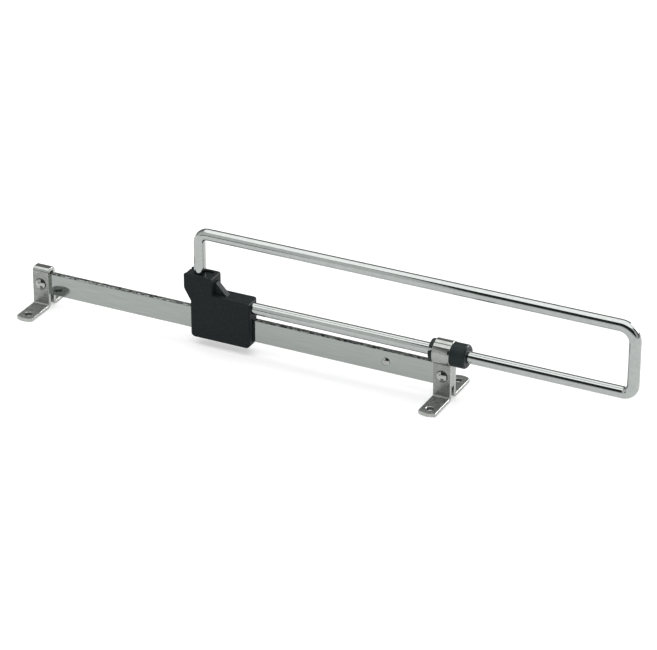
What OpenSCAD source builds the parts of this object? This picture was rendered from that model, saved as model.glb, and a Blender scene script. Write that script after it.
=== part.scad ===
// Pull-out clothes rail: a chromed rod loop on a carriage that slides along a flat guide strip.
// It stands here on the four bracket feet that are screwed to a shelf, with the loop half pulled out.
// +X is the pull-out direction, +Z is away from the shelf, and z = 0 is the underside of the feet.
// The origin is the middle of the four screw holes.

/* [Guide strip] */
// Height of the flat strip that stands on its edge
strip_h = 16; // [12:0.5:20]
// Thickness of the strip
strip_t = 4; // [3:0.5:5]
// Height of the strip's lower edge above the shelf
strip_lift = 9.2; // [8:0.2:16]
// Chamfer along the strip's long edges
strip_edge = 0.4; // [0.2:0.1:0.8]

/* [Brackets] */
// Distance between the two brackets, centre to centre
bracket_pitch = 296; // [280:1:420]
// Width of the sheet strip that each bracket is bent from
bracket_w = 12; // [10:0.5:16]
// Thickness of that sheet
sheet_t = 2.5; // [1.5:0.25:3]
// Inner radius where a leg turns into its foot
foot_bend_r = 1; // [0.5:0.25:2]
// Distance from the middle of the strip to the tip of a foot
foot_reach = 28.5; // [26:0.5:36]
// Radius of the arc that ends a foot
foot_tip_r = 10; // [9:0.5:14]
// Distance from the middle of the strip to a screw hole
screw_reach = 21.5; // [18:0.5:22]
// Diameter of a screw hole
screw_hole_d = 5; // [3.5:0.25:6]
// Broken edge round a screw hole
screw_hole_edge = 0.4; // [0.2:0.1:0.8]
// Free height between the strip and the crown of the rear bracket
rear_headroom = 1; // [0.5:0.25:3]
// Inner radius of the rear bracket's crown
crown_r = 0.5; // [0.25:0.25:1.25]
// Outer diameter of the round band at the top of the front bracket
band_d = 16.8; // [16:0.2:20]
// Fillet where the band runs into its legs
neck_r = 1; // [0.5:0.25:1.5]
// Shank diameter of the rivets that clamp the brackets
rivet_d = 4; // [3:0.25:5]
// Diameter of the rivet heads
rivet_head_d = 8; // [6:0.5:9]
// Height of the domed rivet heads
rivet_head_h = 2.2; // [1.5:0.1:3]
// Diameter of the flat closing heads
rivet_tail_d = 6.4; // [5.5:0.1:8]
// Height of the flat closing heads
rivet_tail_h = 1.2; // [0.8:0.1:1.6]

/* [Stop] */
// Distance from the front bracket's centre back to the stop stud
stop_back = 40.5; // [25:0.5:80]
// Diameter of the stop stud's head
stop_head_d = 5.6; // [4:0.2:7]
// Height of the stop stud's head
stop_head_h = 1.6; // [1:0.1:2.4]
// Diameter of the stop stud's shank
stop_shank_d = 3; // [2:0.25:4]

/* [Rod loop] */
// Diameter of the rod
rod_d = 8; // [6:0.5:9]
// Length of the loop between the centres of its two upright legs
loop_l = 303.6; // [280:0.2:420]
// Distance between the centres of its upper and lower runs
loop_h = 46; // [40:0.5:70]
// Centreline radius of the rear upper bend
rear_bend_r = 6.5; // [6:0.5:12]
// Centreline radius of the front upper bend
front_bend_r = 10; // [6:0.5:16]
// Centreline radius of the front lower bend
low_bend_r = 6.5; // [6:0.5:12]
// Free gap between the strip and the rod's lower run
rod_gap = 3.6; // [2.4:0.2:6]
// Chamfer at the rod's two ends
rod_end_edge = 0.5; // [0.2:0.1:1]

/* [Bush] */
// Radial running clearance between the rod and its bush
rod_play = 0.05; // [0.02:0.01:0.1]
// Diameter of the bush's long collar in front of the bracket
collar_d = 16; // [14:0.5:18]
// Length of the collar
collar_l = 10.2; // [6:0.2:14]
// Chamfer round the collar's front edge
collar_edge = 1; // [0.5:0.25:2]
// Diameter of the bush's snap flange behind the bracket
flange_d = 14.6; // [13.8:0.2:15.4]
// Length of the flange
flange_l = 3; // [2:0.25:5]
// Width of the slit that lets the flange spring through the band
slit_w = 2.4; // [1:0.2:3]
// Angle of the slit above the level, on the near side
slit_angle = 28; // [0:1:60]
// Depth of the locating notch in the band's front edge
notch_depth = 1.2; // [0.8:0.1:2]

/* [Carriage] */
// Distance from the rear bracket to the carriage, as it stands here
rest_gap = 110; // [20:0.5:150]
// Thickness of the carriage across the strip
carriage_t = 13; // [12.5:0.5:18]
// Length of the carriage's lower block
block_l = 43.2; // [38:0.2:60]
// Depth of the carriage below the strip
block_drop = 3.4; // [3.4:0.2:6]
// Wall of the carriage above the rod's lower run
block_roof = 1.2; // [1.2:0.2:4]
// Length of the tower that holds the rod's rear leg
tower_l = 21; // [20:0.2:26]
// Distance from the tower's rear face to the axis of the rod's rear leg
leg_inset = 9.2; // [8.5:0.1:11]
// Overhang of the tower behind the block
tower_overhang = 5.3; // [4.5:0.1:8]
// Height of the tower above the block
tower_rise = 12.5; // [11:0.5:20]
// Height of the tower's upright rear face
tower_back_h = 10; // [8:0.5:12]
// Height of the sloped underside of the overhang
overhang_slope_h = 9; // [6:0.5:12]
// Depth of the pocket in the tower's top, open to the rear
pocket_depth = 1.2; // [1:0.1:5]
// Reach of that pocket in front of the leg's axis
pocket_reach = 8.4; // [5:0.2:9]
// Length of the gusset rib between tower and block
gusset_l = 9; // [7:0.2:10]
// Height of that rib on the tower
gusset_h = 8.4; // [7:0.2:10]
// Width of the level ledge at the rib's top
gusset_ledge = 1; // [0.4:0.2:2]
// Width of that rib, from the seam between the carriage's halves towards the near side
gusset_w = 4.6; // [3:0.2:6]
// Rounding of the carriage's outer corners, seen from the side
carriage_r = 1.5; // [0.5:0.25:2.5]
// Rounding of its two lower corners
lower_corner_r = 2.75; // [1:0.25:3.5]
// Rounding of the lower corner of the tower's rear face
overhang_r = 4; // [1:0.5:5]
// Rounding of the carriage's upright corners on the near side
near_corner_r = 1; // [0.5:0.25:2]
// Rounding of its upright corners on the far side
far_corner_r = 3.5; // [0.5:0.25:4]
// Fillet in the inner corner between tower and block
inner_corner_r = 1; // [0.5:0.25:2]
// Depth that the rod's rear leg goes into the tower
leg_depth = 13.5; // [10:0.5:15]
// Depth that the rod's lower run goes into the block
run_depth = 31; // [20:0.5:32]
// Diameter of the two spring pins that lock the rod's ends
pin_d = 3; // [2:0.25:3.5]
// Length of the spring pins
pin_l = 10; // [9:0.5:11]
// Diameter of the cover screws' shanks
cover_screw_d = 2.9; // [2:0.1:3.2]
// Diameter of the cover screws' heads
cover_screw_head_d = 5.4; // [4:0.1:5.6]
// Height of the cover screws' heads
cover_screw_head_h = 1.8; // [1:0.1:2.2]
// Length of the cover screws under the head
cover_screw_l = 8; // [5:0.5:8.5]

/* [Hidden] */
$fn = 64;

// Slide clearance between the carriage and the strip, each side
slide_play = 0.3;
// Clearance between two pieces that are fitted together and stay put
seat_play = 0.05;
// Overrun of every cut past the face it opens
cut = 1;

// Where the cover's two tongues stand along the block, and their length, as shares of its length
tongue_place_shares = [0.25, 0.75];
tongue_l_share = 0.15;
// Their thickness and their reach into the near half's floor, as shares of that floor's depth
tongue_h_share = 0.35;
tongue_reach_share = 0.7;
// Length of a cover screw's cross recess as a share of the shank
recess_share = 1.2;

half_strip = strip_t / 2;
strip_top = strip_lift + strip_h;
strip_mid = strip_lift + strip_h / 2;
strip_l = bracket_pitch + bracket_w;
front_x = bracket_pitch / 2;
rear_x = -bracket_pitch / 2;
leg_out = half_strip + sheet_t;
rear_top = strip_top + rear_headroom + sheet_t;

rod_r = rod_d / 2;
run_z = strip_top + rod_gap + rod_r;
top_z = run_z + loop_h;
band_r = band_d / 2;
band_bore_r = band_r - sheet_t;

block_x0 = rear_x + bracket_w / 2 + rest_gap;
block_x1 = block_x0 + block_l;
block_z0 = strip_lift - block_drop;
block_z1 = run_z + rod_r + block_roof;
tower_x0 = block_x0 - tower_overhang;
tower_x1 = tower_x0 + tower_l;
tower_z1 = block_z1 + tower_rise;
overhang_z1 = tower_z1 - tower_back_h;
seam_y = half_strip;
half_t = carriage_t / 2;

leg_x = tower_x0 + leg_inset;
loop_x1 = leg_x + loop_l;
leg_end = tower_z1 - leg_depth;
run_end = block_x1 - run_depth;

color_steel = "#A9ACA6";
color_chrome = "#D8DBDB";
color_plastic = "#2A2F30";

// A plan or side outline with every corner rounded by true arcs: p is its corners in order,
// counter-clockwise, and r the radius at each
function unit(v) = v / norm(v);
function turn(a, b) = a[0] * b[1] - a[1] * b[0];
module rounded_outline(p, r) {
    n = len(p);
    u = [for (i = [0 : n - 1]) unit(p[(i + n - 1) % n] - p[i])];
    v = [for (i = [0 : n - 1]) unit(p[(i + 1) % n] - p[i])];
    half = [for (i = [0 : n - 1]) acos(u[i] * v[i]) / 2];
    back = [for (i = [0 : n - 1]) r[i] / tan(half[i])];
    mid = [for (i = [0 : n - 1]) p[i] + unit(u[i] + v[i]) * r[i] / sin(half[i])];
    difference() {
        union() {
            polygon([for (i = [0 : n - 1]) each (r[i] > 0 ? [p[i] + u[i] * back[i], p[i] + v[i] * back[i]]
                : [p[i]])]);
            for (i = [0 : n - 1]) if (r[i] > 0 && turn(v[i], u[i]) > 0) translate(mid[i]) circle(r = r[i]);
        }
        for (i = [0 : n - 1]) if (r[i] > 0 && turn(v[i], u[i]) < 0) translate(mid[i]) circle(r = r[i]);
    }
}

// Extrudes a side view, drawn as x and z, across the strip from y0 to y1
module across(y0, y1) {
    translate([0, y1, 0]) rotate([90, 0, 0]) linear_extrude(y1 - y0) children();
}

// Extrudes an end view, drawn as y and z, along the strip from x0 to x1
module along(x0, x1) {
    translate([x0, 0, 0]) rotate([90, 0, 90]) linear_extrude(x1 - x0) children();
}

// A round bar or bore across the strip at x, z
module pin_across(x, z, d, y0, y1) {
    translate([x, y1, z]) rotate([90, 0, 0]) cylinder(d = d, h = y1 - y0);
}

// A quarter of a bent sheet: the bend's centre is the origin and it opens towards -y and -z
module quarter_bend(r) {
    intersection() {
        difference() {
            circle(r = r + sheet_t);
            circle(r = r);
        }
        translate([-r - sheet_t, -r - sheet_t]) square(r + sheet_t);
    }
}

// End view of one leg and foot on the +y side, with the leg rising to z
module leg_and_foot(z) {
    bend_y = leg_out + foot_bend_r;
    bend_z = sheet_t + foot_bend_r;
    translate([bend_y, bend_z]) quarter_bend(foot_bend_r);
    translate([half_strip, bend_z]) square([sheet_t, z - bend_z]);
    translate([bend_y, 0]) square([foot_reach - bend_y, sheet_t]);
}

// Plan of a bracket, with the arcs that end its feet
module bracket_plan() {
    intersection() {
        translate([-bracket_w / 2, -foot_reach]) square([bracket_w, 2 * foot_reach]);
        union() {
            for (side = [-1, 1]) translate([0, side * (foot_reach - foot_tip_r)]) circle(r = foot_tip_r);
            translate([-bracket_w / 2, foot_tip_r - foot_reach])
                square([bracket_w, 2 * (foot_reach - foot_tip_r)]);
        }
    }
}

// What both brackets lose: screw holes in the feet and the rivet hole through the legs
module bracket_holes() {
    for (side = [-1, 1]) translate([0, side * screw_reach, 0]) {
        translate([0, 0, -cut]) cylinder(d = screw_hole_d, h = sheet_t + 2 * cut);
        translate([0, 0, sheet_t - screw_hole_edge])
            cylinder(d1 = screw_hole_d, d2 = screw_hole_d + 4 * screw_hole_edge, h = 2 * screw_hole_edge);
    }
    pin_across(0, strip_mid, rivet_d + 2 * seat_play, -leg_out - cut, leg_out + cut);
}

module guide_strip() {
    color(color_steel) difference() {
        along(-strip_l / 2, strip_l / 2) polygon([
            [-half_strip, strip_lift + strip_edge], [strip_edge - half_strip, strip_lift],
            [half_strip - strip_edge, strip_lift], [half_strip, strip_lift + strip_edge],
            [half_strip, strip_top - strip_edge], [half_strip - strip_edge, strip_top],
            [strip_edge - half_strip, strip_top], [-half_strip, strip_top - strip_edge]]);
        for (x = [rear_x, front_x])
            pin_across(x, strip_mid, rivet_d + 2 * seat_play, -strip_t, strip_t);
        pin_across(front_x - stop_back, strip_mid, stop_shank_d + 2 * seat_play, -strip_t, strip_t);
    }
}

// End view of the rear bracket: an inverted U with outturned feet
module rear_profile() {
    spring = strip_top + rear_headroom - crown_r;
    for (side = [0, 1]) mirror([side, 0]) {
        leg_and_foot(spring);
        translate([half_strip - crown_r, spring]) rotate(180) quarter_bend(crown_r);
    }
    translate([crown_r - half_strip, spring + crown_r]) square([strip_t - 2 * crown_r, sheet_t]);
}

module rear_bracket() {
    color(color_steel) translate([rear_x, 0, 0]) difference() {
        intersection() {
            along(-bracket_w / 2, bracket_w / 2) rear_profile();
            translate([0, 0, -cut]) linear_extrude(rear_top + 2 * cut) bracket_plan();
        }
        bracket_holes();
    }
}

// End view of the front bracket: two legs that open into a round band
module front_profile() {
    neck_mid_y = leg_out + neck_r;
    neck_drop = sqrt(pow(band_r + neck_r, 2) - pow(neck_mid_y, 2));
    neck_mid = [neck_mid_y, run_z - neck_drop];
    touch = [0, run_z] + [neck_mid_y, -neck_drop] * band_r / (band_r + neck_r);
    difference() {
        union() {
            translate([0, run_z]) circle(r = band_r);
            for (side = [0, 1]) mirror([side, 0]) {
                leg_and_foot(run_z - band_bore_r);
                difference() {
                    polygon([[half_strip, neck_mid[1]], neck_mid, touch, [half_strip, touch[1]]]);
                    translate(neck_mid) circle(r = neck_r);
                }
            }
        }
        translate([0, run_z]) circle(r = band_bore_r);
        translate([-half_strip, -cut]) square([strip_t, run_z + cut]);
    }
}

// A block on the near side of the rod's axis, turned up to the slit's angle about that axis
module at_slit(x0, x1, r0, r1, w) {
    translate([0, 0, run_z]) rotate([-slit_angle, 0, 0]) translate([x0, -r1, -w / 2])
        cube([x1 - x0, r1 - r0, w]);
}

module front_bracket() {
    color(color_steel) translate([front_x, 0, 0]) difference() {
        intersection() {
            along(-bracket_w / 2, bracket_w / 2) front_profile();
            translate([0, 0, -cut]) linear_extrude(top_z) bracket_plan();
        }
        bracket_holes();
        at_slit(bracket_w / 2 - notch_depth, bracket_w / 2 + cut, band_bore_r - cut, band_r + cut, slit_w);
    }
}

// A rivet along the strip's thickness at x: domed head on the near side, flat closing head beyond
module rivet(x) {
    color(color_chrome) translate([x, 0, strip_mid]) rotate([90, 0, 0]) {
        translate([0, 0, -leg_out - rivet_tail_h]) cylinder(d = rivet_tail_d, h = rivet_tail_h);
        translate([0, 0, -leg_out]) cylinder(d = rivet_d, h = 2 * leg_out);
        translate([0, 0, leg_out]) dome(rivet_head_d, rivet_head_h);
    }
}

// A spherical cap of diameter d and height h, standing on z = 0
module dome(d, h) {
    r = (pow(d / 2, 2) + pow(h, 2)) / (2 * h);
    intersection() {
        translate([0, 0, h - r]) sphere(r = r);
        cylinder(d = d + h, h = 2 * h);
    }
}

module rear_rivet() rivet(rear_x);

module front_rivet() rivet(front_x);

module stop_stud() {
    color(color_steel) translate([front_x - stop_back, 0, strip_mid]) rotate([90, 0, 0]) {
        translate([0, 0, -half_strip]) cylinder(d = stop_shank_d, h = strip_t);
        translate([0, 0, half_strip]) dome(stop_head_d, stop_head_h);
    }
}

// The split bush: a barrel in the band, a snap flange behind it and a long collar in front
module rod_bush() {
    bore_r = rod_r + rod_play;
    back = -bracket_w / 2;
    front = bracket_w / 2;
    color(color_plastic) translate([front_x, 0, 0]) difference() {
        union() {
            translate([0, 0, run_z]) rotate([0, 90, 0]) {
                translate([0, 0, back]) cylinder(r = band_bore_r - seat_play, h = bracket_w);
                translate([0, 0, back - flange_l]) cylinder(d = flange_d, h = flange_l);
                translate([0, 0, front]) cylinder(d = collar_d, h = collar_l - collar_edge);
                translate([0, 0, front + collar_l - collar_edge])
                    cylinder(d1 = collar_d, d2 = collar_d - 2 * collar_edge, h = collar_edge);
            }
            at_slit(front - notch_depth + seat_play, front + collar_edge, bore_r + seat_play,
                band_r - seat_play, slit_w - 2 * seat_play);
        }
        translate([back - flange_l - cut, 0, run_z]) rotate([0, 90, 0])
            cylinder(r = bore_r, h = flange_l + bracket_w + collar_l + 2 * cut);
        at_slit(back - flange_l - cut, front - notch_depth, 0, flange_d, slit_w);
    }
}

// Corners of the carriage seen from the near side, and the radius at each
carriage_corners = [
    [block_x0, block_z0], [block_x1, block_z0], [block_x1, block_z1],
    [tower_x1, block_z1], [tower_x1, tower_z1], [tower_x0, tower_z1],
    [tower_x0, overhang_z1], [block_x0, overhang_z1 - overhang_slope_h]];
carriage_radii = [lower_corner_r, lower_corner_r, carriage_r, inner_corner_r, carriage_r, carriage_r,
    overhang_r, carriage_r];

// Places of the two cover screws, as x and z
screw_rear = [block_x0 + (run_end - block_x0) / 2, leg_end - rod_r - cover_screw_d / 2];
screw_tower = [(leg_x + rod_r + tower_x1) / 2, tower_z1 - pocket_depth - cover_screw_head_d / 2 - seat_play];
// Places of the two pins, as x and z
leg_pin_at = [leg_x, leg_end + leg_depth / 3];
run_pin_at = [run_end + run_depth / 3, run_z];

// What the strip, the rod, the pins and the pocket take out of both halves of the carriage
module carriage_hollows() {
    slot = half_strip + slide_play;
    translate([block_x0 - cut, -slot, strip_lift - slide_play])
        cube([block_l + 2 * cut, 2 * slot, strip_h + 2 * slide_play]);
    translate([run_end - slide_play, 0, run_z]) rotate([0, 90, 0])
        cylinder(r = rod_r + seat_play, h = run_depth + slide_play + cut);
    translate([leg_x, 0, leg_end - slide_play])
        cylinder(r = rod_r + seat_play, h = leg_depth + slide_play + cut);
    translate([tower_x0 - cut, -rod_r - slide_play, tower_z1 - pocket_depth])
        cube([leg_inset + pocket_reach + cut, rod_d + 2 * slide_play, pocket_depth + cut]);
    for (at = [leg_pin_at, run_pin_at])
        pin_across(at[0], at[1], pin_d + 2 * seat_play, -pin_l / 2 - seat_play, pin_l / 2 + seat_play);
}

// Keeps what lies inside the carriage's plan, with its four upright corners rounded
module in_plan() {
    intersection() {
        children();
        translate([0, 0, block_z0 - cut]) linear_extrude(tower_z1 - block_z0 + 2 * cut) rounded_outline([
            [tower_x0, -half_t], [block_x1, -half_t], [block_x1, half_t], [tower_x0, half_t]],
            [near_corner_r, near_corner_r, far_corner_r, far_corner_r]);
    }
}

// Two tongues at the cover's lower edge that hook into the near half's floor
module tongues(play) {
    tongue_l = block_l * tongue_l_share;
    tongue_h = block_drop * tongue_h_share;
    tongue_reach = block_drop * tongue_reach_share;
    for (share = tongue_place_shares)
        translate([block_x0 + block_l * share - tongue_l / 2 - play, seam_y - tongue_reach - play,
            block_z0 + (block_drop - tongue_h) / 2 - play])
            cube([tongue_l + 2 * play, tongue_reach + play, tongue_h + 2 * play]);
}

// The rib in the corner between tower and block, with its root inside both
module gusset() {
    root_x = tower_x1 - carriage_r;
    root_z = block_z1 - carriage_r;
    gusset_z1 = block_z1 + gusset_h;
    across(seam_y - gusset_w, seam_y) polygon([[root_x, root_z], [tower_x1 + gusset_l, root_z],
        [tower_x1 + gusset_l, block_z1], [tower_x1 + gusset_ledge, gusset_z1], [root_x, gusset_z1]]);
}

module carriage_body() {
    color(color_plastic) difference() {
        union() {
            in_plan() across(-half_t, seam_y) rounded_outline(carriage_corners, carriage_radii);
            gusset();
        }
        carriage_hollows();
        for (at = [screw_rear, screw_tower])
            pin_across(at[0], at[1], cover_screw_d + 2 * seat_play, -cover_screw_l + half_t
                - cover_screw_head_h - seat_play, half_t);
        tongues(seat_play);
    }
}

module carriage_cover() {
    color(color_plastic) {
        difference() {
            in_plan() across(seam_y, half_t) rounded_outline(carriage_corners, carriage_radii);
            carriage_hollows();
            for (at = [screw_rear, screw_tower]) {
                pin_across(at[0], at[1], cover_screw_d + 2 * seat_play, 0, half_t + cut);
                pin_across(at[0], at[1], cover_screw_head_d + 2 * seat_play,
                    half_t - cover_screw_head_h, half_t + cut);
            }
        }
        tongues(0);
    }
}

module leg_pin() {
    color(color_steel) pin_across(leg_pin_at[0], leg_pin_at[1], pin_d, -pin_l / 2, pin_l / 2);
}

module run_pin() {
    color(color_steel) pin_across(run_pin_at[0], run_pin_at[1], pin_d, -pin_l / 2, pin_l / 2);
}

// A cover screw driven from the far side at x, z
module cover_screw(at) {
    recess_w = cover_screw_head_h / 3;
    recess_l = cover_screw_d * recess_share;
    head_y = half_t - cover_screw_head_h;
    color(color_steel) difference() {
        union() {
            pin_across(at[0], at[1], cover_screw_head_d, head_y, half_t - seat_play);
            pin_across(at[0], at[1], cover_screw_d, head_y - cover_screw_l, head_y);
        }
        for (turned = [45, 135]) translate([at[0], half_t - cover_screw_head_h / 2, at[1]])
            rotate([0, turned, 0]) translate([-recess_l / 2, 0, -recess_w / 2])
                cube([recess_l, cover_screw_head_h, recess_w]);
    }
}

module cover_screw_rear() cover_screw(screw_rear);

module cover_screw_tower() cover_screw(screw_tower);

// A quarter ring of the rod: its bend's centre is at x, z and it starts at the given angle
module rod_bend(x, z, r, start) {
    translate([x, 0, z]) rotate([90, 0, 0]) rotate(start) rotate_extrude(angle = 90)
        translate([r, 0]) circle(d = rod_d);
}

// The chamfered end of the rod, standing on z = 0
module rod_end() {
    cylinder(d1 = rod_d - 2 * rod_end_edge, d2 = rod_d, h = rod_end_edge);
}

module hanging_loop() {
    color(color_chrome) difference() {
        union() {
            translate([leg_x, 0, leg_end]) rod_end();
            translate([leg_x, 0, leg_end + rod_end_edge])
                cylinder(d = rod_d, h = top_z - rear_bend_r - leg_end - rod_end_edge);
            rod_bend(leg_x + rear_bend_r, top_z - rear_bend_r, rear_bend_r, 90);
            translate([leg_x + rear_bend_r, 0, top_z]) rotate([0, 90, 0])
                cylinder(d = rod_d, h = loop_l - rear_bend_r - front_bend_r);
            rod_bend(loop_x1 - front_bend_r, top_z - front_bend_r, front_bend_r, 0);
            translate([loop_x1, 0, run_z + low_bend_r])
                cylinder(d = rod_d, h = loop_h - low_bend_r - front_bend_r);
            rod_bend(loop_x1 - low_bend_r, run_z + low_bend_r, low_bend_r, 270);
            translate([run_end + rod_end_edge, 0, run_z]) rotate([0, 90, 0])
                cylinder(d = rod_d, h = loop_x1 - low_bend_r - run_end - rod_end_edge);
            translate([run_end, 0, run_z]) rotate([0, 90, 0]) rod_end();
        }
        for (at = [leg_pin_at, run_pin_at])
            pin_across(at[0], at[1], pin_d + 2 * seat_play, -rod_d, rod_d);
    }
}

guide_strip();
rear_bracket();
front_bracket();
rear_rivet();
front_rivet();
stop_stud();
rod_bush();
carriage_body();
carriage_cover();
leg_pin();
run_pin();
cover_screw_rear();
cover_screw_tower();
hanging_loop();
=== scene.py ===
import math

import bmesh
import bpy
from mathutils import Matrix, Vector


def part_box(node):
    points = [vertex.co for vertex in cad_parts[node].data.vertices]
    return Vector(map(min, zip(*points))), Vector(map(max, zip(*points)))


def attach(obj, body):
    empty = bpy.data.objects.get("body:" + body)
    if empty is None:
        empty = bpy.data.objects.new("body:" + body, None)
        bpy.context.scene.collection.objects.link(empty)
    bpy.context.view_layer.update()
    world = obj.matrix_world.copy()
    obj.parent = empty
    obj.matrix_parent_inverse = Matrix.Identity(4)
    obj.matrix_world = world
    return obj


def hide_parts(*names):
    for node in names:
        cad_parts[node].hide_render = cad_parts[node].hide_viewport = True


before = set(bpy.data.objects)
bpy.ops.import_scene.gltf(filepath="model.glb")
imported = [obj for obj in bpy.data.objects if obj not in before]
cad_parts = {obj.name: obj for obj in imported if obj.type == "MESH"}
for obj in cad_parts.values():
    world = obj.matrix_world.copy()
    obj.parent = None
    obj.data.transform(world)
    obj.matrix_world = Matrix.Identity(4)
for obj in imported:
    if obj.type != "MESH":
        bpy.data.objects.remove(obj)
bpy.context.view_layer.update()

# Pull-out clothes rail: a satin-plated strip on two bent brackets carries a black plastic carriage,
# and a polished chrome rod loop slides with it through a black bush.

MM = 0.001


# Camera: where the photograph was taken from, and the lens it was taken with

IMAGE_W, IMAGE_H = 657, 650
SENSOR_W = 36.0
FOCAL_PX = 3200.0
CLIP_END = 20
AZIMUTH = math.radians(26.334)
ELEVATION = math.radians(27.089)
ROLL = math.radians(0.118)
# The middle of the front bracket, on the floor, is seen at this pixel from this distance
AIM = Vector((0.148, 0, 0))
AIM_PX = (444.12, 397.37)
AIM_DISTANCE = 2.0436


def add_camera():
    right = Vector((math.cos(AZIMUTH), math.sin(AZIMUTH), 0))
    ahead = Vector((-math.sin(AZIMUTH) * math.cos(ELEVATION), math.cos(AZIMUTH) * math.cos(ELEVATION),
                    -math.sin(ELEVATION)))
    up = right.cross(ahead)
    rolled_right = right * math.cos(ROLL) + up * math.sin(ROLL)
    rolled_up = up * math.cos(ROLL) - right * math.sin(ROLL)
    metres_per_px = AIM_DISTANCE / FOCAL_PX
    place = (AIM - ahead * AIM_DISTANCE - rolled_right * (AIM_PX[0] - IMAGE_W / 2) * metres_per_px
             + rolled_up * (AIM_PX[1] - IMAGE_H / 2) * metres_per_px)
    camera = bpy.data.cameras.new("camera")
    camera.sensor_width = SENSOR_W
    camera.lens = FOCAL_PX * SENSOR_W / IMAGE_W
    camera.clip_end = CLIP_END
    holder = bpy.data.objects.new("camera", camera)
    turn = Matrix((rolled_right, rolled_up, -ahead)).transposed().to_4x4()
    holder.matrix_world = Matrix.Translation(place) @ turn
    bpy.context.scene.collection.objects.link(holder)
    bpy.context.scene.camera = holder


add_camera()
bpy.context.scene.view_settings.view_transform = "Standard"


# Material tools

# The part of a noise's values over which a finish goes from its one shade or gloss to the other
MIDDLE = (0.35, 0.65)
# Sockets of a Mix node for colours, which share their names with those for numbers
FIRST_COLOUR, SECOND_COLOUR, MIXED_COLOUR = 6, 7, 2


def linear(hex_colour):
    """An sRGB hex value as the linear colour that the shaders take."""
    parts = [int(hex_colour[i:i + 2], 16) / 255 for i in (1, 3, 5)]
    return tuple(c / 12.92 if c <= 0.04045 else ((c + 0.055) / 1.055) ** 2.4 for c in parts) + (1.0,)


def add_node(tree, kind, inputs=None, **settings):
    """Adds a node with its settings, and gives its inputs values or other nodes' outputs."""
    node = tree.nodes.new(kind)
    for name, value in settings.items():
        setattr(node, name, value)
    for name, value in (inputs or {}).items():
        if isinstance(value, bpy.types.NodeSocket):
            tree.links.new(value, node.inputs[name])
        else:
            node.inputs[name].default_value = value
    return node


def new_material(name):
    """An empty material and its node tree."""
    material = bpy.data.materials.new(name)
    material.use_nodes = True
    material.node_tree.nodes.clear()
    return material, material.node_tree


def pattern(tree, size_mm, stretch=(1, 1, 1), detail=2.0, roughness=0.5):
    """Noise on the piece's own coordinates: spots about size_mm across, longer along a stretched axis."""
    place = add_node(tree, "ShaderNodeTexCoord")
    mapped = add_node(tree, "ShaderNodeMapping", {"Vector": place.outputs["Object"],
                                                  "Scale": [1 / (size_mm * MM * s) for s in stretch]})
    noise = add_node(tree, "ShaderNodeTexNoise", {"Vector": mapped.outputs[0], "Scale": 1.0,
                                                  "Detail": detail, "Roughness": roughness})
    return noise.outputs["Fac"]


def surface(tree, colour, rough, relief, depth_mm, metallic=0.0, shine=0.5):
    """The shader, with a relief of a real depth, joined to the material's output."""
    uneven = add_node(tree, "ShaderNodeBump", {"Height": relief, "Distance": depth_mm * MM, "Strength": 1.0})
    shader = add_node(tree, "ShaderNodeBsdfPrincipled", {"Base Color": colour, "Metallic": metallic,
                                                         "Roughness": rough, "Specular IOR Level": shine,
                                                         "Normal": uneven.outputs[0]})
    add_node(tree, "ShaderNodeOutputMaterial", {"Surface": shader.outputs[0]})


def mottled(tree, shade, colours, gloss, rough, relief, depth_mm, shades=MIDDLE, **finish):
    """A surface whose colour follows the noise shade, and its roughness the noise gloss, or is even without."""
    mottle = add_node(tree, "ShaderNodeMapRange", {"Value": shade, "From Min": shades[0],
                                                   "From Max": shades[1]})
    colour = add_node(tree, "ShaderNodeMix", {"Factor": mottle.outputs[0], FIRST_COLOUR: linear(colours[0]),
                                              SECOND_COLOUR: linear(colours[1])}, data_type="RGBA")
    if gloss:
        rough = add_node(tree, "ShaderNodeMapRange", {"Value": gloss, "From Min": MIDDLE[0],
                                                      "From Max": MIDDLE[1], "To Min": rough[0],
                                                      "To Max": rough[1]}).outputs[0]
    surface(tree, colour.outputs[MIXED_COLOUR], rough, relief, depth_mm, **finish)


# Materials. The real grain of the plates and plastics is finer than a pixel of the photograph, so it is
# drawn as coarse as it needs to show: 0.35 to 0.5 mm across, and only a few microns to 0.02 mm deep.

# How much a normal of the strip has along Z where its rolled edges begin and are full, and the noise values
# between which their nicks turn dark
EDGE_UP = (0.3, 0.6)
NICKS = (0.46, 0.52)
NICK_COLOUR = "#282A28"
# How rough the strip's polished face is, and how much more its slit edges are
FACE_ROUGH = (0.05, 0.08)
EDGE_ROUGHER = 0.34


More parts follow.
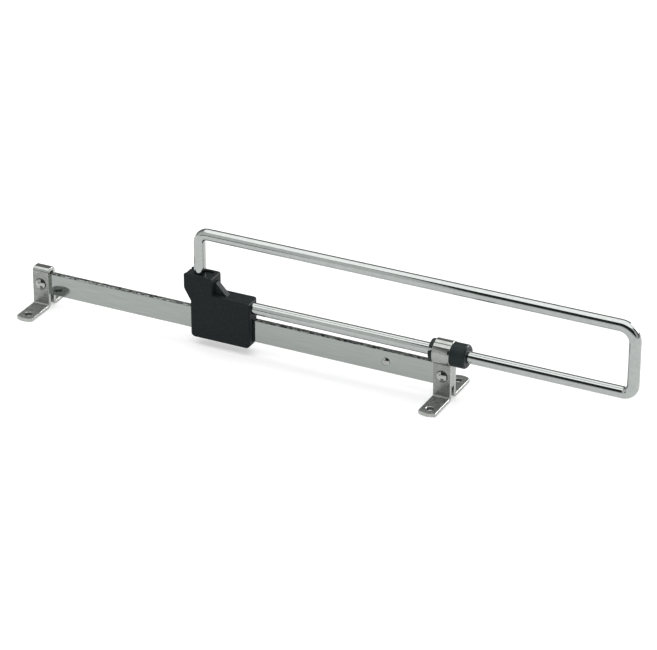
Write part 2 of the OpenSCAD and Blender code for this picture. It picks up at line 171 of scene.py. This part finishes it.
def satin_strip_steel():
    # Cold-rolled flat bar, satin nickel plated: soft grey, with faint streaks along the rolling; its slit
    # edges are duller and have dark nicks where the plating didn't take
    material, tree = new_material("satin nickel plated flat bar")
    streaks = pattern(tree, 0.5, stretch=(40, 1, 1), detail=3)
    clouds = pattern(tree, 9.0, stretch=(3, 1, 1), detail=3)
    grain = pattern(tree, 0.35, detail=1)
    nicks = pattern(tree, 0.55, stretch=(5, 1, 1), detail=1)
    normal = add_node(tree, "ShaderNodeNewGeometry").outputs["Normal"]
    upright = add_node(tree, "ShaderNodeSeparateXYZ", {0: normal}).outputs["Z"]
    edge = add_node(tree, "ShaderNodeMapRange", {"Value": upright, "From Min": EDGE_UP[0],
                                                 "From Max": EDGE_UP[1]}).outputs[0]
    bare = add_node(tree, "ShaderNodeMapRange", {"Value": nicks, "From Min": NICKS[0], "From Max": NICKS[1]})
    nicked = add_node(tree, "ShaderNodeMath", {0: edge, 1: bare.outputs[0]}, operation="MULTIPLY")
    rolled = add_node(tree, "ShaderNodeMapRange", {"Value": streaks, "From Min": MIDDLE[0],
                                                   "From Max": MIDDLE[1]})
    plate = add_node(tree, "ShaderNodeMix", {"Factor": rolled.outputs[0], FIRST_COLOUR: linear("#919693"),
                                             SECOND_COLOUR: linear("#9A9F9C")}, data_type="RGBA")
    colour = add_node(tree, "ShaderNodeMix", {"Factor": nicked.outputs[0],
                                              FIRST_COLOUR: plate.outputs[MIXED_COLOUR],
                                              SECOND_COLOUR: linear(NICK_COLOUR)}, data_type="RGBA")
    face = add_node(tree, "ShaderNodeMapRange", {"Value": clouds, "From Min": MIDDLE[0],
                                                 "From Max": MIDDLE[1], "To Min": FACE_ROUGH[0],
                                                 "To Max": FACE_ROUGH[1]})
    rougher = add_node(tree, "ShaderNodeMapRange", {"Value": edge, "To Max": EDGE_ROUGHER})
    rough = add_node(tree, "ShaderNodeMath", {0: face.outputs[0], 1: rougher.outputs[0]}, operation="ADD")
    surface(tree, colour.outputs[MIXED_COLOUR], rough.outputs[0], grain, 0.002, metallic=1.0)
    return material


def plated_sheet(name, colours, rough, clear):
    """Nickel plate on bent sheet: cloudy, clear as a mirror in part, and its haze scatters the rest."""
    material, tree = new_material(name)
    clouds = pattern(tree, 4.0, detail=4, roughness=0.6)
    grain = pattern(tree, 0.4, detail=2)
    mottled(tree, clouds, colours, clouds, rough, grain, 0.002, metallic=clear)
    return material


def satin_sheet_steel():
    # Bent sheet, satin nickel plated: a little darker and cloudier than the bar
    return plated_sheet("satin nickel plated sheet", ("#888B87", "#989B98"), (0.22, 0.3), 0.64)


def burnished_bend_steel():
    # Where the sheet was drawn round a former the plating is burnished: brighter, with clearer reflections
    return plated_sheet("burnished plated bend", ("#949793", "#A2A5A1"), (0.08, 0.13), 0.86)


def sheared_edge_steel():
    # Plated cut edge of the sheet: brighter, with fine shear lines across its thickness
    material, tree = new_material("sheared plated edge")
    lines = pattern(tree, 0.35, stretch=(1, 1, 6), detail=2)
    mottled(tree, lines, ("#989B96", "#B4B7B2"), lines, (0.25, 0.4), lines, 0.01, metallic=1.0)
    return material


def punched_bore_and_painted_shade():
    # Inside of a punched hole: torn, dull and hardly reached by the plating, and darker still as painted shade
    # in the hole; the same dark finish is painted shade at the foot of the rivet heads
    material, tree = new_material("punched bore and painted shade")
    tears = pattern(tree, 0.4, stretch=(1, 1, 5), detail=2)
    mottled(tree, tears, ("#3C3E3C", "#5A5C59"), None, 0.45, tears, 0.01, metallic=1.0)
    return material


def rivet_steel():
    # Bright plated rivet head: nearly a mirror, slightly dulled by the setting tool
    material, tree = new_material("bright plated rivet")
    wear = pattern(tree, 0.8, detail=3)
    mottled(tree, wear, ("#9C9E9B", "#ACAEAB"), wear, (0.06, 0.12), wear, 0.003, metallic=1.0)
    return material


def polished_chrome():
    # Polished chrome plate: a mirror, with the faint waviness of drawn and bent rod
    material, tree = new_material("polished chrome plate")
    waves = pattern(tree, 5.0, stretch=(4, 1, 1), detail=1)
    haze = pattern(tree, 2.5, detail=3)
    mottled(tree, haze, ("#A3A7A5", "#A9ADAB"), haze, (0.03, 0.06), waves, 0.006, metallic=1.0)
    return material


def grained_black_plastic():
    # Injection-moulded acetal in black: dark blue-grey, with a spark-eroded grain, and lighter specks painted
    # into its colour as painted glints
    material, tree = new_material("moulded black acetal, grained")
    grain = pattern(tree, 0.45, detail=2)
    painted_glints = pattern(tree, 0.8, detail=1)
    # Where the speck noise is high the colour turns lighter: painted glints
    mottled(tree, painted_glints, ("#23292A", "#3E4445"), grain, (0.38, 0.5), grain, 0.02, shades=(0.58, 0.8),
            shine=0.08)
    return material


def smooth_black_plastic():
    # Acetal again, but the bush is moulded smoother, so it has a soft gloss
    material, tree = new_material("moulded black acetal, satin")
    grain = pattern(tree, 0.5, detail=1)
    mottled(tree, grain, ("#222A2B", "#2D3536"), grain, (0.34, 0.4), grain, 0.01, shine=0.12)
    return material


def zinc_screw_steel():
    # Zinc-plated screw: pale and slightly mottled
    material, tree = new_material("zinc plated screw")
    mottle = pattern(tree, 0.7, detail=3)
    mottled(tree, mottle, ("#AEB2B4", "#C6CACC"), mottle, (0.2, 0.35), mottle, 0.006, metallic=1.0)
    return material


def oiled_pin_steel():
    # Spring steel pin, blued by its heat treatment and oiled: darker than the plated parts, with a soft gloss
    material, tree = new_material("oiled spring steel")
    mottle = pattern(tree, 1.0, detail=2)
    mottled(tree, mottle, ("#6E6E6C", "#8C8C89"), mottle, (0.25, 0.4), mottle, 0.005, metallic=1.0)
    return material


STRIP = satin_strip_steel()
SHEET = satin_sheet_steel()
BURNISHED = burnished_bend_steel()
SHEARED = sheared_edge_steel()
# The bore's dark colour is painted shade, in the screw holes and at the foot of the rivet heads
BORE_AND_PAINTED_SHADE = punched_bore_and_painted_shade()
RIVET = rivet_steel()
CHROME = polished_chrome()
GRAINED = grained_black_plastic()
SATIN_BLACK = smooth_black_plastic()
SCREW = zinc_screw_steel()
PIN = oiled_pin_steel()


# Piece tools

# Faces that meet at less than this are shaded as one curve
SMOOTH_ANGLE = math.radians(35)
# Edges of a CAD mesh that are sharper than this are rounded, in this many steps
SHARP_ANGLE = math.radians(28)
EDGE_STEPS = 3
# Triangles that differ by less than this are one flat face
FLAT_ANGLE = math.radians(0.5)
# Points of a mesh that are closer than this are the same, and slivers of a rounding narrower than this go
SAME_POINT = 0.002 * MM
SLIVER = 0.01 * MM
# How much the large flat faces outweigh the small rounded ones in shading: 50 is neutral, 100 is the most
FLAT_FACE_WEIGHT = 100


def finish_piece(name, mesh, body, materials, nodes):
    """Turns a bmesh into a piece that rides on a body and stands for its CAD nodes."""
    bmesh.ops.recalc_face_normals(mesh, faces=mesh.faces)
    for edge in mesh.edges:
        edge.smooth = len(edge.link_faces) == 2 and edge.calc_face_angle(0) < SMOOTH_ANGLE
    for face in mesh.faces:
        face.smooth = True
    data = bpy.data.meshes.new(name)
    mesh.to_mesh(data)
    mesh.free()
    piece = bpy.data.objects.new(name, data)
    bpy.context.scene.collection.objects.link(piece)
    for material in materials:
        data.materials.append(material)
    flats = piece.modifiers.new("flat faces keep their own normal", "WEIGHTED_NORMAL")
    flats.weight = FLAT_FACE_WEIGHT
    flats.keep_sharp = True
    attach(piece, body)
    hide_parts(*nodes)


def softened(node, width, stays_sharp=lambda place: False):
    """A merged copy of a CAD node's mesh, with its outer edges rounded save where stays_sharp says so."""
    mesh = bmesh.new()
    mesh.from_mesh(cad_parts[node].data)
    mesh.transform(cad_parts[node].matrix_world)
    bmesh.ops.remove_doubles(mesh, verts=mesh.verts, dist=SAME_POINT)
    bmesh.ops.dissolve_limit(mesh, angle_limit=FLAT_ANGLE, verts=mesh.verts, edges=mesh.edges)
    edges = [e for e in mesh.edges if len(e.link_faces) == 2 and e.is_convex
             and e.calc_face_angle(0) > SHARP_ANGLE and not stays_sharp((e.verts[0].co + e.verts[1].co) / 2)]
    bmesh.ops.bevel(mesh, geom=edges, offset=width, offset_type="OFFSET", affect="EDGES",
                    segments=EDGE_STEPS, profile=0.5, clamp_overlap=False, material=-1)
    bmesh.ops.remove_doubles(mesh, verts=mesh.verts, dist=SLIVER)
    bmesh.ops.dissolve_degenerate(mesh, edges=mesh.edges, dist=SLIVER)
    return mesh


# Brackets: bent sheet, with a broken edge all round that stays sharp at the holes

SHEET_EDGE_R = 0.3 * MM
# The middle of a screw hole from the middle of the rail, a little more than its radius, and its broken rim
SCREW_REACH = 21.5 * MM
BORE_R = 2.8 * MM
BORE_RIM_R = 3.6 * MM
# The rivets' height, and a little more than their radius
RIVET_Z = 17.2 * MM
RIVET_SEAT_R = 2.2 * MM
# Above this height the sheet is bent over the strip or round the bush
BEND_Z = 26 * MM
# A face stands upright where its normal has less than this along Z, and looks along the rail where it has
# more than this along X
UPRIGHT = 0.3
ALONG_RAIL = 0.6


def sheet_part(face, middle_x):
    """Which material a face has: 0 plated sheet, 1 its cut edge, 2 a screw hole's wall, dark as painted shade,
    3 the bend on top.
    """
    place = face.calc_center_median()
    upright = abs(face.normal.z) < UPRIGHT
    if upright and math.hypot(place.x - middle_x, abs(place.y) - SCREW_REACH) < BORE_R:
        return 2
    at_tip = upright and abs(place.y) > SCREW_REACH
    if abs(face.normal.x) > ALONG_RAIL or at_tip:
        return 1
    return 3 if place.z > BEND_Z else 0


def bent_sheet(node):
    """A bracket's mesh, each face with the material of the part of the sheet that it is on."""
    low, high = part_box(node)
    middle_x = (low[0] + high[0]) / 2

    def at_a_hole(place):
        return (math.hypot(place.x - middle_x, abs(place.y) - SCREW_REACH) < BORE_RIM_R
                or math.hypot(place.x - middle_x, place.z - RIVET_Z) < RIVET_SEAT_R)

    sheet = softened(node, SHEET_EDGE_R, at_a_hole)
    for face in sheet.faces:
        face.material_index = sheet_part(face, middle_x)
    return sheet


for node in ("rear_bracket", "front_bracket"):
    finish_piece(node + "_sheet", bent_sheet(node), "rail",
                 [SHEET, SHEARED, BORE_AND_PAINTED_SHADE, BURNISHED], [node])


# Strip: a flat bar whose long edges are rolled round and whose cut ends are only broken

BAR_EDGE_R = 0.9 * MM
BAR_EDGE_STEPS = 6
BAR_END_R = 0.3 * MM
BAR_END_STEPS = 2
# The bar's long edges are longer than this, and its ends meet its faces at more than this
BAR_LONG = 10 * MM
BAR_END_ANGLE = math.radians(80)


def box_mesh(low, high):
    """A bmesh box between two corners."""
    low, high = Vector(low), Vector(high)
    mesh = bmesh.new()
    bmesh.ops.create_cube(mesh, size=1)
    bmesh.ops.scale(mesh, verts=mesh.verts, vec=high - low)
    bmesh.ops.translate(mesh, verts=mesh.verts, vec=(low + high) / 2)
    return mesh


def rounded(mesh, edges, radius, segments):
    bmesh.ops.bevel(mesh, geom=edges, offset=radius, offset_type="OFFSET", affect="EDGES",
                    segments=segments, profile=0.5, clamp_overlap=True, material=-1)


def rolled_bar():
    mesh = box_mesh(*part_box("guide_strip"))
    long_edges = [e for e in mesh.edges if abs(e.verts[0].co.x - e.verts[1].co.x) > BAR_LONG]
    rounded(mesh, long_edges, BAR_EDGE_R, BAR_EDGE_STEPS)
    ends = [e for e in mesh.edges if abs(e.verts[0].co.x - e.verts[1].co.x) < BAR_LONG
            and len(e.link_faces) == 2 and e.calc_face_angle(0) > BAR_END_ANGLE]
    rounded(mesh, ends, BAR_END_R, BAR_END_STEPS)
    return mesh


finish_piece("strip_bar", rolled_bar(), "rail", [STRIP], ["guide_strip"])


# Bush

BUSH_EDGE_R = 0.2 * MM

finish_piece("bush_moulding", softened("rod_bush", BUSH_EDGE_R), "rail", [SATIN_BLACK],
             ["rod_bush"])


# Carriage: its moulded edges are soft outside, and sharp at its seam, its strip slot and its rod seats

MOULDED_EDGE_R = 0.3 * MM
# An edge is the seam's where it is this near to the seam's plane
SEAM_Y = 2 * MM
SEAM_NEAR = 0.01 * MM
SLOT_Y = 2.5 * MM
SLOT_TOP = 25.7 * MM
ROD_SEAT_R = 4.2 * MM
LOW_RUN_Z = 32.8 * MM
REAR_LEG_X = -28.1 * MM


def inside_carriage(place):
    return (abs(place.y - SEAM_Y) < SEAM_NEAR or (abs(place.y) < SLOT_Y and place.z < SLOT_TOP)
            or math.hypot(place.x - REAR_LEG_X, place.y) < ROD_SEAT_R
            or math.hypot(place.y, place.z - LOW_RUN_Z) < ROD_SEAT_R)


for name, node in (("carriage_near_half", "carriage_body"), ("carriage_far_half", "carriage_cover")):
    finish_piece(name, softened(node, MOULDED_EDGE_R, inside_carriage), "slider",
                 [GRAINED], [node])


# The rod loop: one round bar, swept from its end in the tower to its end in the block

ROD_SIDES = 48
BEND_STEPS = 20
REAR_BEND_R = 6.5 * MM
FRONT_BEND_R = 10 * MM
LOW_BEND_R = 6.5 * MM
LEG_END_Z = 37 * MM
RUN_END_X = -19.8 * MM
ROD_END_CHAMFER = 0.5 * MM


def ring_of(geometry):
    return [item for item in geometry if isinstance(item, bmesh.types.BMEdge)]


def straight(mesh, ring, way):
    """Draws the ring of edges along a straight way and gives the new ring."""
    new = bmesh.ops.extrude_edge_only(mesh, edges=ring)["geom"]
    bmesh.ops.translate(mesh, verts=[v for v in new if isinstance(v, bmesh.types.BMVert)], vec=way)
    return ring_of(new)


def bend(mesh, ring, centre):
    """Turns the ring a quarter round an axis along Y and gives the new ring."""
    last = bmesh.ops.spin(mesh, geom=ring, cent=centre, axis=(0, 1, 0), dvec=(0, 0, 0), steps=BEND_STEPS,
                          angle=math.radians(90))["geom_last"]
    return ring_of(last)


def chamfered_end(mesh, ring, way):
    """Closes the rod with a small chamfer and a flat."""
    new = straight(mesh, ring, way * ROD_END_CHAMFER)
    rim = list(dict.fromkeys(v for e in new for v in e.verts))
    middle = sum((v.co for v in rim), Vector()) / len(rim)
    for vert in rim:
        vert.co += (middle - vert.co).normalized() * ROD_END_CHAMFER
    bmesh.ops.contextual_create(mesh, geom=rim)


def swept_rod():
    low, high = (Vector(corner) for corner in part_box("hanging_loop"))
    radius = (high.y - low.y) / 2
    rear_x, front_x = low.x + radius, high.x - radius
    run_z, top_z = low.z + radius, high.z - radius
    mesh = bmesh.new()
    bmesh.ops.create_circle(mesh, segments=ROD_SIDES, radius=radius, cap_ends=False)
    bmesh.ops.translate(mesh, verts=mesh.verts, vec=(rear_x, 0, LEG_END_Z + ROD_END_CHAMFER))
    first = list(mesh.edges)
    ring = straight(mesh, first, (0, 0, top_z - REAR_BEND_R - LEG_END_Z - ROD_END_CHAMFER))
    ring = bend(mesh, ring, (rear_x + REAR_BEND_R, 0, top_z - REAR_BEND_R))
    ring = straight(mesh, ring, (front_x - FRONT_BEND_R - rear_x - REAR_BEND_R, 0, 0))
    ring = bend(mesh, ring, (front_x - FRONT_BEND_R, 0, top_z - FRONT_BEND_R))
    ring = straight(mesh, ring, (0, 0, run_z + LOW_BEND_R - top_z + FRONT_BEND_R))
    ring = bend(mesh, ring, (front_x - LOW_BEND_R, 0, run_z + LOW_BEND_R))
    ring = straight(mesh, ring, (RUN_END_X + ROD_END_CHAMFER - front_x + LOW_BEND_R, 0, 0))
    chamfered_end(mesh, first, Vector((0, 0, -1)))
    chamfered_end(mesh, ring, Vector((-1, 0, 0)))
    return mesh


finish_piece("rod", swept_rod(), "slider", [CHROME], ["hanging_loop"])


# Rivets and stop stud: round parts across the strip, spun from half a section

SPIN_STEPS = 48
DOME_STEPS = 8
# A head's upright rim, and how far up from the sheet its foot is given the dark material as painted shade in
# the corner
HEAD_RIM = 0.35 * MM
HEAD_SHADE = 0.9 * MM
# From the middle of the strip to its face, and to the outside of the sheet on it
HALF_STRIP = 2 * MM
HALF_GRIP = 4.5 * MM
RIVET_R = 2 * MM
RIVET_TAIL_R = 3.2 * MM
STUD_R = 1.5 * MM
# The stud's riveted end is just proud of the strip's far face
STUD_PROUD = 0.05 * MM


def dome_section(radius, face_y, top_y):
    """Points of a domed head, from its apex to its rim on the sheet, as radius and y."""
    rise = top_y - face_y - math.copysign(HEAD_RIM, top_y - face_y)
    curve = (radius ** 2 + rise ** 2) / (2 * abs(rise))
    half = math.asin(radius / curve)
    points = []
    for step in range(DOME_STEPS + 1):
        turn = half * step / DOME_STEPS
        points.append((curve * math.sin(turn), top_y - math.copysign(curve * (1 - math.cos(turn)), rise)))
    return points + [(radius, face_y)]


def spun_across(section, x, z):
    """Spins points of radius and y round an axis along Y through x and z."""
    mesh = bmesh.new()
    verts = [mesh.verts.new((x + radius, y, z)) for radius, y in section]
    edges = [mesh.edges.new(pair) for pair in zip(verts, verts[1:])]
    bmesh.ops.spin(mesh, geom=verts + edges, cent=(x, 0, z), axis=(0, 1, 0), dvec=(0, 0, 0),
                   steps=SPIN_STEPS, angle=math.radians(360), use_merge=True)
    bmesh.ops.remove_doubles(mesh, verts=mesh.verts, dist=SAME_POINT)
    return mesh


def rim_painted_shade(mesh, face_y):
    """Gives the foot of a near head, where it meets the sheet, the dark second material as painted shade."""
    for face in mesh.faces:
        if face_y - HEAD_SHADE < face.calc_center_median().y < face_y:
            face.material_index = 1
    return mesh


def across_strip(node):
    """A round part's axis as x and z, its largest radius, and the y of its near and its far end."""
    low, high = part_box(node)
    return (low[0] + high[0]) / 2, (low[2] + high[2]) / 2, (high[2] - low[2]) / 2, low[1], high[1]


for node in ("rear_rivet", "front_rivet"):
    x, z, radius, near_y, far_y = across_strip(node)
    shank_and_tail = [(RIVET_R, -HALF_GRIP), (RIVET_R, HALF_GRIP), (RIVET_TAIL_R, HALF_GRIP),
                      (RIVET_TAIL_R, far_y), (0, far_y)]
    rivet = spun_across(dome_section(radius, -HALF_GRIP, near_y) + shank_and_tail, x, z)
    # The foot of each near head is painted shade where it meets the sheet
    finish_piece(node + "_set", rim_painted_shade(rivet, -HALF_GRIP), "rail", [RIVET, BORE_AND_PAINTED_SHADE], [node])

x, z, radius, near_y, far_y = across_strip("stop_stud")
far_y += STUD_PROUD
shank = [(STUD_R, -HALF_STRIP), (STUD_R, far_y), (0, far_y)]
stud = spun_across(dome_section(radius, -HALF_STRIP, near_y) + shank, x, z)
finish_piece("stop", stud, "rail", [RIVET], ["stop_stud"])


# Screws and pins

SCREW_EDGE_R = 0.08 * MM

for node in ("cover_screw_rear", "cover_screw_tower"):
    finish_piece(node + "_zinc", softened(node, SCREW_EDGE_R), "slider", [SCREW], [node])
for node in ("leg_pin", "run_pin"):
    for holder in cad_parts[node].material_slots:
        holder.material = PIN


# Stage: a white floor, and a studio whose sky is bright overhead and darker near the horizon

# A tent of light overhead, leaning a little to the back: where its edge begins and ends, as the cosine of
# the angle from its middle, and how bright it is
TENT_LEAN = math.radians(5.5)
TENT_EDGE = (0.71, 0.765)
TENT_LIGHT = 2.6
# Outside it the room is grey in front and dark behind, and turns from one to the other between these
ROOM_FRONT = 1.15
ROOM_BACK = 0.25
ROOM_TURN = (-0.3, 0.3)
# Dark cards in front of the rail, out of view, and their corners as x and height
CARDS_AWAY = 1.2
HANGING_CARD = ((-0.93, 2.05), (-0.885, 1.93), (-0.643, 1.51), (-0.414, 0.86), (-0.292, 0.34), (3.0, 0.2),
                (3.0, 2.05))
STANDING_CARD = ((-1.2, 0.0), (-0.456, 0.0), (-0.53, 0.2), (-1.2, 0.3))
# A square softbox on the right behind the rail, seen from the rail's middle
RAIL_MIDDLE = Vector((0.06, 0, 0.04))
SOFTBOX_WAY = (0.51, 0.80, 0.32)
SOFTBOX_AWAY = 2.0
SOFTBOX_SIDE = 0.9
SOFTBOX_WATTS = 42
# The floor's half width, and how far it lies under the feet, so that the two aren't in one plane
FLOOR_HALF = 6
FLOOR_DROP = 0.02 * MM
# How much white the camera and the metal see on the floor beyond the light that falls there
FLOOR_GLOW = 0.5


def stage_object(name, mesh, material):
    """Turns a bmesh into a part of the stage."""
    data = bpy.data.meshes.new(name)
    mesh.to_mesh(data)
    mesh.free()
    data.materials.append(material)
    staged = bpy.data.objects.new(name, data)
    bpy.context.scene.collection.objects.link(staged)
    return staged


def white_sweep():
    # Matt white paper: the rail's shadow shows on it, and the camera and the metal see it as white
    material, tree = new_material("white sweep")
    path = add_node(tree, "ShaderNodeLightPath")
    seen = add_node(tree, "ShaderNodeMath", {0: path.outputs["Is Camera Ray"],
                                             1: path.outputs["Is Glossy Ray"]}, operation="MAXIMUM")
    seen = add_node(tree, "ShaderNodeMath", {0: seen.outputs[0],
                                             1: path.outputs["Is Transmission Ray"]}, operation="MAXIMUM")
    glow = add_node(tree, "ShaderNodeMath", {0: seen.outputs[0], 1: FLOOR_GLOW}, operation="MULTIPLY")
    paper = add_node(tree, "ShaderNodeBsdfDiffuse", {"Color": linear("#D2D2D2")})
    white = add_node(tree, "ShaderNodeEmission", {"Strength": glow.outputs[0]})
    both = add_node(tree, "ShaderNodeAddShader", {0: paper.outputs[0], 1: white.outputs[0]})
    add_node(tree, "ShaderNodeOutputMaterial", {"Surface": both.outputs[0]})
    return material


def grey_felt(name):
    # Felt on a card: it gives back little light, so the rod mirrors it as a dark line
    material, tree = new_material(name)
    felt = add_node(tree, "ShaderNodeBsdfDiffuse", {"Color": linear("#46494A")})
    add_node(tree, "ShaderNodeOutputMaterial", {"Surface": felt.outputs[0]})
    return material


def add_floor():
    mesh = bmesh.new()
    bmesh.ops.create_grid(mesh, x_segments=1, y_segments=1, size=FLOOR_HALF)
    floor = stage_object("floor", mesh, white_sweep())
    floor.location.z = -FLOOR_DROP


def add_card(name, corners):
    mesh = bmesh.new()
    bmesh.ops.contextual_create(mesh, geom=[mesh.verts.new((x, -CARDS_AWAY, z)) for x, z in corners])
    card = stage_object(name, mesh, grey_felt(name))
    card.visible_camera = False


def add_studio():
    world = bpy.data.worlds.new("studio")
    bpy.context.scene.world = world
    world.use_nodes = True
    tree = world.node_tree
    tree.nodes.clear()
    way = add_node(tree, "ShaderNodeTexCoord").outputs["Generated"]
    height = add_node(tree, "ShaderNodeVectorMath",
                      {0: way, 1: (0, math.sin(TENT_LEAN), math.cos(TENT_LEAN))}, operation="DOT_PRODUCT")
    tent = add_node(tree, "ShaderNodeMapRange", {"Value": height.outputs["Value"], "From Min": TENT_EDGE[0],
                                                 "From Max": TENT_EDGE[1]}, interpolation_type="SMOOTHSTEP")
    back = add_node(tree, "ShaderNodeSeparateXYZ", {0: way}).outputs["Y"]
    room = add_node(tree, "ShaderNodeMapRange", {"Value": back, "From Min": ROOM_TURN[0],
                                                 "From Max": ROOM_TURN[1], "To Min": ROOM_FRONT,
                                                 "To Max": ROOM_BACK})
    both = add_node(tree, "ShaderNodeMix", {"Factor": tent.outputs[0], "A": room.outputs[0],
                                            "B": TENT_LIGHT})
    light = add_node(tree, "ShaderNodeBackground", {"Strength": both.outputs[0]})
    add_node(tree, "ShaderNodeOutputWorld", {"Surface": light.outputs[0]})


def add_softbox():
    """The lamp looks at the middle of the rail and is seen only in its gloss."""
    lamp = bpy.data.lights.new("rear right softbox", "AREA")
    lamp.size = SOFTBOX_SIDE
    lamp.energy = SOFTBOX_WATTS
    holder = bpy.data.objects.new("rear right softbox", lamp)
    way = Vector(SOFTBOX_WAY).normalized()
    turn = way.to_track_quat("Z", "Y").to_matrix().to_4x4()
    holder.matrix_world = Matrix.Translation(RAIL_MIDDLE + way * SOFTBOX_AWAY) @ turn
    holder.visible_diffuse = False
    bpy.context.scene.collection.objects.link(holder)


add_floor()
add_studio()
add_card("hanging card", HANGING_CARD)
add_card("standing card", STANDING_CARD)
add_softbox()
